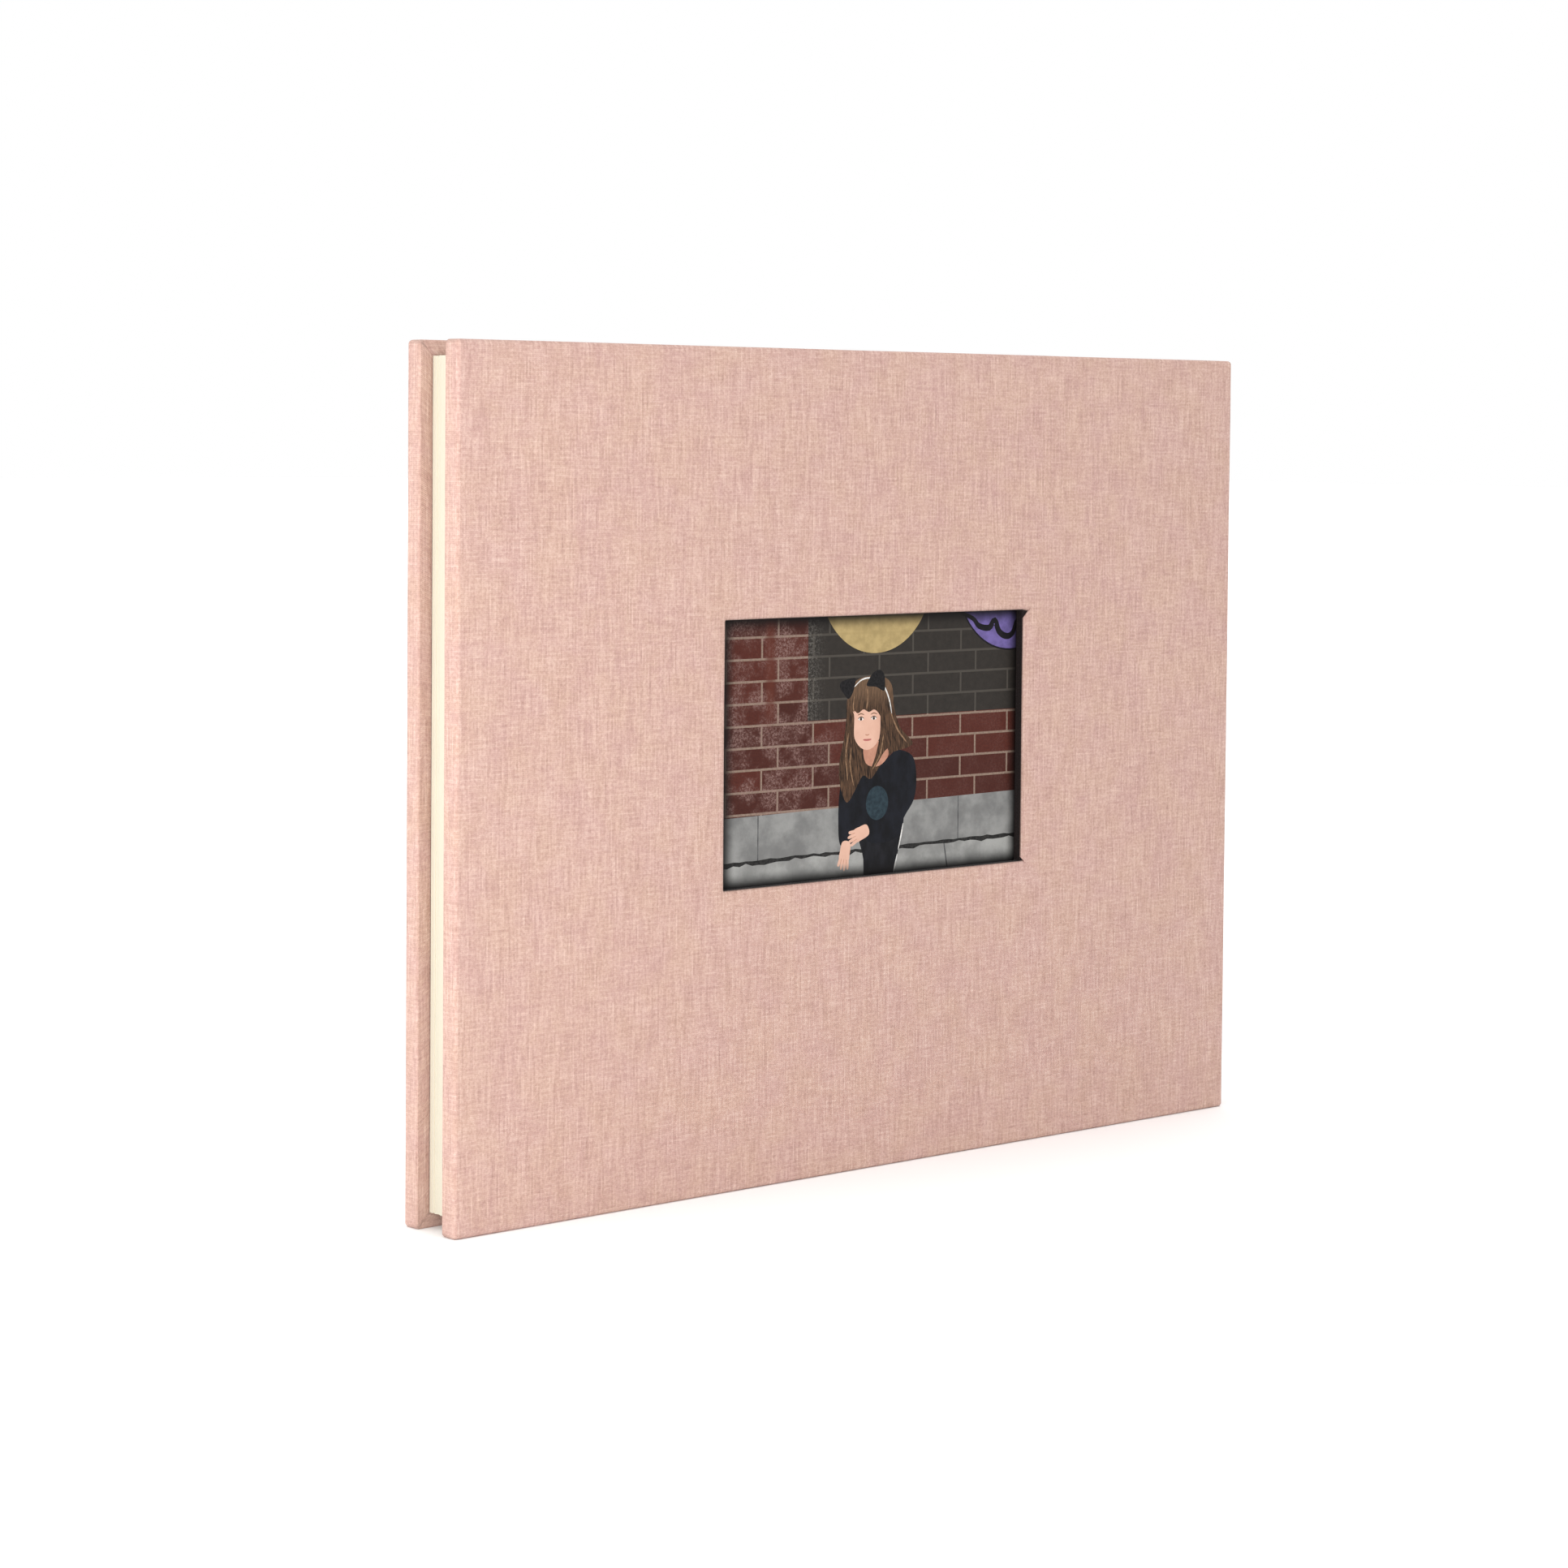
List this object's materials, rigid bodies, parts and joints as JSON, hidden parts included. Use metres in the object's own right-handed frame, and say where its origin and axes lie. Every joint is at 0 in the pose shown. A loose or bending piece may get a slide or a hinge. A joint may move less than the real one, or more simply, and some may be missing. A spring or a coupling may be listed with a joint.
{
  "type": "scrapbook album",
  "caption": "Landscape scrapbook album with cloth-covered boards, a picture window in the front cover, a screw-post binding and folding leaves.",
  "frame": {"origin": "bottom centre of the bounding box of the shut album, standing on its tail edge", "axes": "+X from the fore edge to the spine, +Y from the front cover to the back cover, +Z from tail to head"},
  "size_m": [0.286, 0.0218, 0.224],
  "materials": {
    "album_cloth": "plain-weave linen-look book cloth, dusty pink, matte",
    "cover_board": "grey bookbinding board, bare cut edges",
    "album_paper": "heavy uncoated cream paper",
    "endpaper": "uncoated cream endpaper",
    "print_paper": null,
    "carrier_card": "black card",
    "band_cloth": "woven cream headband cloth",
    "post_metal": "plain brass screw post"
  },
  "bodies": {
    "binding": {"spine_cloth": "album_cloth", "spine_board": "cover_board", "spine_lining": "endpaper", "headband": "band_cloth", "tailband": "band_cloth", "leaf_strip_01": "album_paper", "leaf_strip_02": "album_paper", "leaf_strip_03": "album_paper", "leaf_strip_04": "album_paper", "leaf_strip_05": "album_paper", "leaf_strip_06": "album_paper", "leaf_strip_07": "album_paper", "leaf_strip_08": "album_paper", "leaf_strip_09": "album_paper", "leaf_strip_10": "album_paper", "leaf_strip_11": "album_paper", "leaf_strip_12": "album_paper", "leaf_strip_13": "album_paper", "leaf_strip_14": "album_paper", "leaf_strip_15": "album_paper", "leaf_strip_16": "album_paper", "binding_post_lower": "post_metal", "binding_post_middle": "post_metal", "binding_post_upper": "post_metal", "binding_screw_lower": "post_metal", "binding_screw_middle": "post_metal", "binding_screw_upper": "post_metal"},
    "front_cover": {"front_cover_cloth": "album_cloth", "front_window_board": "cover_board", "front_spacer_card": "cover_board", "front_backing_board": "cover_board", "front_pastedown": "endpaper"},
    "photo": {"photo_print": "print_paper", "photo_carrier": "carrier_card"},
    "back_cover": {"back_cover_cloth": "album_cloth", "back_outer_board": "cover_board", "back_inner_board": "cover_board", "back_pastedown": "endpaper"},
    "leaf_01": {"leaf_01": "album_paper"},
    "leaf_02": {"leaf_02": "album_paper"},
    "leaf_03": {"leaf_03": "album_paper"},
    "leaf_04": {"leaf_04": "album_paper"},
    "leaf_05": {"leaf_05": "album_paper"},
    "leaf_06": {"leaf_06": "album_paper"},
    "leaf_07": {"leaf_07": "album_paper"},
    "leaf_08": {"leaf_08": "album_paper"},
    "leaf_09": {"leaf_09": "album_paper"},
    "leaf_10": {"leaf_10": "album_paper"},
    "leaf_11": {"leaf_11": "album_paper"},
    "leaf_12": {"leaf_12": "album_paper"},
    "leaf_13": {"leaf_13": "album_paper"},
    "leaf_14": {"leaf_14": "album_paper"},
    "leaf_15": {"leaf_15": "album_paper"},
    "leaf_16": {"leaf_16": "album_paper"}
  },
  "joints": [
    {"name": "front_cover_hinge", "type": "hinge", "parent": "binding", "child": "front_cover", "pos_m": [0.1432, -0.00567, 0.112], "axis": [0, 0, 1], "range_deg": [0, 178]},
    {"name": "back_cover_hinge", "type": "hinge", "parent": "binding", "child": "back_cover", "pos_m": [0.1432, 0.00567, 0.112], "axis": [0, 0, 1], "range_deg": [-178, 0]},
    {"name": "photo_slide", "type": "slide", "parent": "front_cover", "child": "photo", "axis": [0, 0, 1], "range_m": [0, 0.15]},
    {"name": "leaf_01_fold", "type": "hinge", "parent": "binding", "child": "leaf_01", "pos_m": [0.125, -0.0048, 0.112], "axis": [0, 0, 1], "range_deg": [0, 112.3]},
    {"name": "leaf_02_fold", "type": "hinge", "parent": "binding", "child": "leaf_02", "pos_m": [0.1243, -0.00416, 0.112], "axis": [0, 0, 1], "range_deg": [0, 97.4]},
    {"name": "leaf_03_fold", "type": "hinge", "parent": "binding", "child": "leaf_03", "pos_m": [0.1236, -0.00352, 0.112], "axis": [0, 0, 1], "range_deg": [0, 82.5]},
    {"name": "leaf_04_fold", "type": "hinge", "parent": "binding", "child": "leaf_04", "pos_m": [0.1229, -0.00288, 0.112], "axis": [0, 0, 1], "range_deg": [0, 67.6]},
    {"name": "leaf_05_fold", "type": "hinge", "parent": "binding", "child": "leaf_05", "pos_m": [0.1222, -0.00224, 0.112], "axis": [0, 0, 1], "range_deg": [0, 52.7]},
    {"name": "leaf_06_fold", "type": "hinge", "parent": "binding", "child": "leaf_06", "pos_m": [0.1215, -0.0016, 0.112], "axis": [0, 0, 1], "range_deg": [0, 37.8]},
    {"name": "leaf_07_fold", "type": "hinge", "parent": "binding", "child": "leaf_07", "pos_m": [0.1208, -0.00096, 0.112], "axis": [0, 0, 1], "range_deg": [0, 22.9]},
    {"name": "leaf_08_fold", "type": "hinge", "parent": "binding", "child": "leaf_08", "pos_m": [0.1201, -0.00032, 0.112], "axis": [0, 0, 1], "range_deg": [0, 8]},
    {"name": "leaf_09_fold", "type": "hinge", "parent": "binding", "child": "leaf_09", "pos_m": [0.1201, 0.00032, 0.112], "axis": [0, 0, 1], "range_deg": [-8, 0]},
    {"name": "leaf_10_fold", "type": "hinge", "parent": "binding", "child": "leaf_10", "pos_m": [0.1208, 0.00096, 0.112], "axis": [0, 0, 1], "range_deg": [-22.9, 0]},
    {"name": "leaf_11_fold", "type": "hinge", "parent": "binding", "child": "leaf_11", "pos_m": [0.1215, 0.0016, 0.112], "axis": [0, 0, 1], "range_deg": [-37.8, 0]},
    {"name": "leaf_12_fold", "type": "hinge", "parent": "binding", "child": "leaf_12", "pos_m": [0.1222, 0.00224, 0.112], "axis": [0, 0, 1], "range_deg": [-52.7, 0]},
    {"name": "leaf_13_fold", "type": "hinge", "parent": "binding", "child": "leaf_13", "pos_m": [0.1229, 0.00288, 0.112], "axis": [0, 0, 1], "range_deg": [-67.6, 0]},
    {"name": "leaf_14_fold", "type": "hinge", "parent": "binding", "child": "leaf_14", "pos_m": [0.1236, 0.00352, 0.112], "axis": [0, 0, 1], "range_deg": [-82.5, 0]},
    {"name": "leaf_15_fold", "type": "hinge", "parent": "binding", "child": "leaf_15", "pos_m": [0.1243, 0.00416, 0.112], "axis": [0, 0, 1], "range_deg": [-97.4, 0]},
    {"name": "leaf_16_fold", "type": "hinge", "parent": "binding", "child": "leaf_16", "pos_m": [0.125, 0.0048, 0.112], "axis": [0, 0, 1], "range_deg": [-112.3, 0]}
  ],
  "couplings": [
    {"joint": "leaf_01_fold", "follows": "front_cover_hinge", "ratio": 0.6281},
    {"joint": "leaf_02_fold", "follows": "front_cover_hinge", "ratio": 0.5444},
    {"joint": "leaf_03_fold", "follows": "front_cover_hinge", "ratio": 0.4606},
    {"joint": "leaf_04_fold", "follows": "front_cover_hinge", "ratio": 0.3769},
    {"joint": "leaf_05_fold", "follows": "front_cover_hinge", "ratio": 0.2931},
    {"joint": "leaf_06_fold", "follows": "front_cover_hinge", "ratio": 0.2094},
    {"joint": "leaf_07_fold", "follows": "front_cover_hinge", "ratio": 0.1256},
    {"joint": "leaf_08_fold", "follows": "front_cover_hinge", "ratio": 0.0419},
    {"joint": "leaf_09_fold", "follows": "back_cover_hinge", "ratio": 0.0419},
    {"joint": "leaf_10_fold", "follows": "back_cover_hinge", "ratio": 0.1256},
    {"joint": "leaf_11_fold", "follows": "back_cover_hinge", "ratio": 0.2094},
    {"joint": "leaf_12_fold", "follows": "back_cover_hinge", "ratio": 0.2931},
    {"joint": "leaf_13_fold", "follows": "back_cover_hinge", "ratio": 0.3769},
    {"joint": "leaf_14_fold", "follows": "back_cover_hinge", "ratio": 0.4606},
    {"joint": "leaf_15_fold", "follows": "back_cover_hinge", "ratio": 0.5444},
    {"joint": "leaf_16_fold", "follows": "back_cover_hinge", "ratio": 0.6281}
  ]
}
